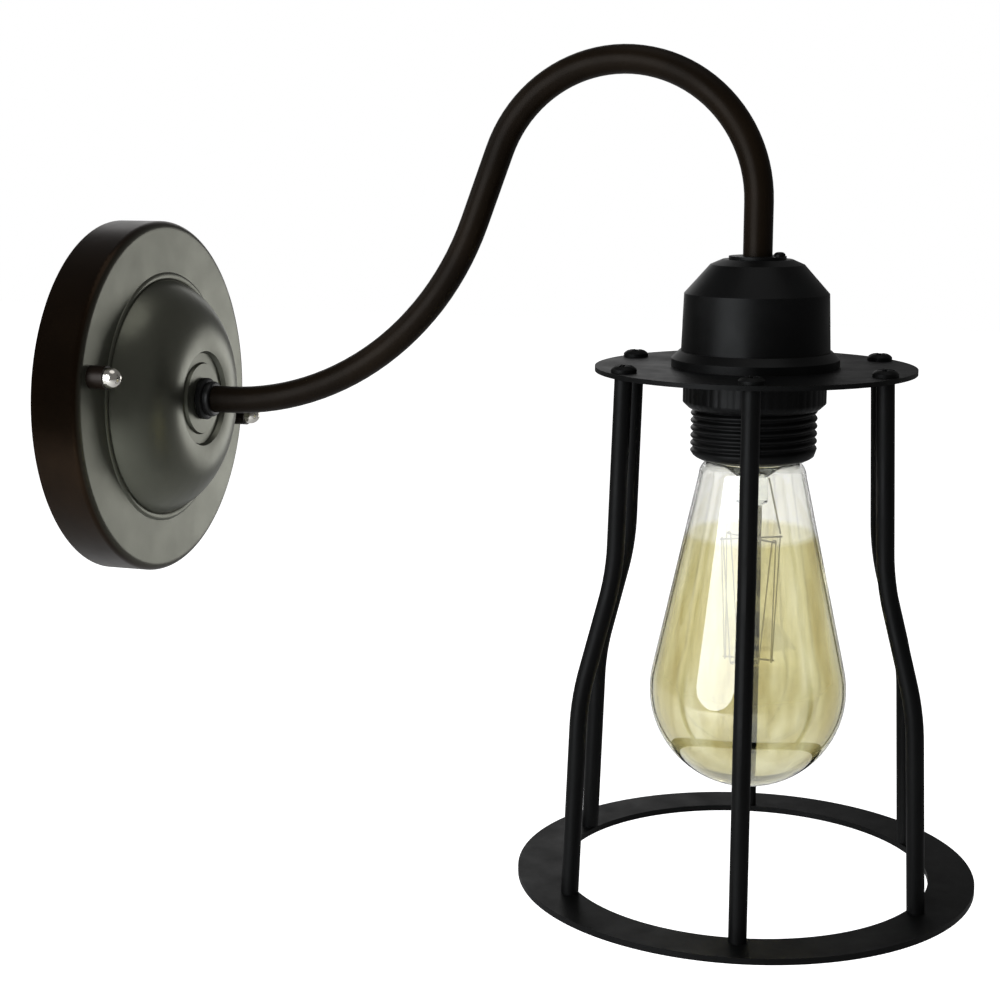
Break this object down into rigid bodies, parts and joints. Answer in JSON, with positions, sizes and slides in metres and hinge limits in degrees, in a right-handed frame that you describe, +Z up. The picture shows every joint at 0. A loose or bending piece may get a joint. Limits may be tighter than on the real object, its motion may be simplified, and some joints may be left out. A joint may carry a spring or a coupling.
{
  "type": "cage wall light",
  "caption": "Gooseneck wall light: round domed wall plate, bent tube arm, black lampholder and open flared rod cage round a teardrop filament bulb.",
  "frame": {"origin": "centre of the wall plate's back, on the wall", "axes": "+Y into the wall, so the light stands out along -Y; +Z up; +X along the wall"},
  "size_m": [0.149, 0.2993, 0.2679],
  "materials": {
    "canopy_bronze": "satin olive-bronze paint on spun steel",
    "zinc_strap": "zinc-plated steel sheet",
    "zinc_hardware": "zinc-plated steel",
    "tinned_copper": "tinned copper",
    "collar_bronze": "satin dark bronze paint",
    "polished_nickel": "polished nickel",
    "block_plastic": "white moulded polyamide",
    "terminal_brass": "plain brass",
    "arm_bronze": "satin dark bronze paint on steel tube",
    "black_steel": "satin black paint",
    "earth_insulation": "green and yellow wire insulation",
    "neutral_insulation": "blue wire insulation",
    "live_insulation": "brown wire insulation",
    "cage_black": "satin black paint on steel",
    "holder_black": "satin black moulded phenolic",
    "porcelain": "glazed ceramic",
    "shell_brass": "plated brass",
    "amber_glass": "clear glass with a pale amber coat",
    "bulb_cap_metal": "nickel-plated brass shell",
    "bulb_black_glass": "black glass insulator",
    "solder_tip": "solder",
    "stem_glass": "clear glass",
    "support_wire": "drawn nickel wire",
    "tungsten": "drawn tungsten"
  },
  "bodies": {
    "fixture": {"wall_plate": "canopy_bronze", "mounting_strap": "zinc_strap", "canopy_studs": "zinc_hardware", "stud_locknuts": "zinc_hardware", "earth_screw": "zinc_hardware", "earth_washer": "zinc_hardware", "earth_eyelet": "tinned_copper", "earth_crimp": "tinned_copper", "canopy_collars": "collar_bronze", "cap_nuts": "polished_nickel", "terminal_block": "block_plastic", "terminal_barrels": "terminal_brass", "terminal_screws": "zinc_hardware", "block_screw": "zinc_hardware", "lampholder_terminals": "terminal_brass", "lampholder_terminal_screws": "zinc_hardware", "gooseneck_arm": "arm_bronze", "arm_collar": "black_steel", "arm_washer": "zinc_hardware", "arm_locknut": "zinc_hardware", "earth_lead": "earth_insulation", "neutral_wire": "neutral_insulation", "live_wire": "live_insulation", "cage_top_plate": "cage_black", "cage_rod_screws": "cage_black", "cage_ring": "cage_black", "lampholder_cap": "holder_black", "cap_lock_screw": "holder_black", "lampholder_skirt": "holder_black", "upper_shade_ring": "holder_black", "lower_shade_ring": "holder_black", "lampholder_insulator": "porcelain", "screw_shell": "shell_brass", "centre_contact": "shell_brass", "cage_rod_1": "cage_black", "cage_rod_2": "cage_black", "cage_rod_3": "cage_black", "cage_rod_4": "cage_black", "cage_rod_5": "cage_black", "cage_rod_6": "cage_black"},
    "bulb": {"bulb_envelope": "amber_glass", "bulb_cap_shell": "bulb_cap_metal", "bulb_cap_insulator": "bulb_black_glass", "bulb_tip_contact": "solder_tip", "bulb_stem": "stem_glass", "bulb_lead_wires": "support_wire", "filament_hooks_upper": "support_wire", "filament_hooks_lower": "support_wire", "filament": "tungsten"}
  },
  "joints": [
    {"name": "bulb_slide", "type": "slide", "parent": "fixture", "child": "bulb", "axis": [0, 0, -1], "range_m": [0, 0.18]}
  ]
}
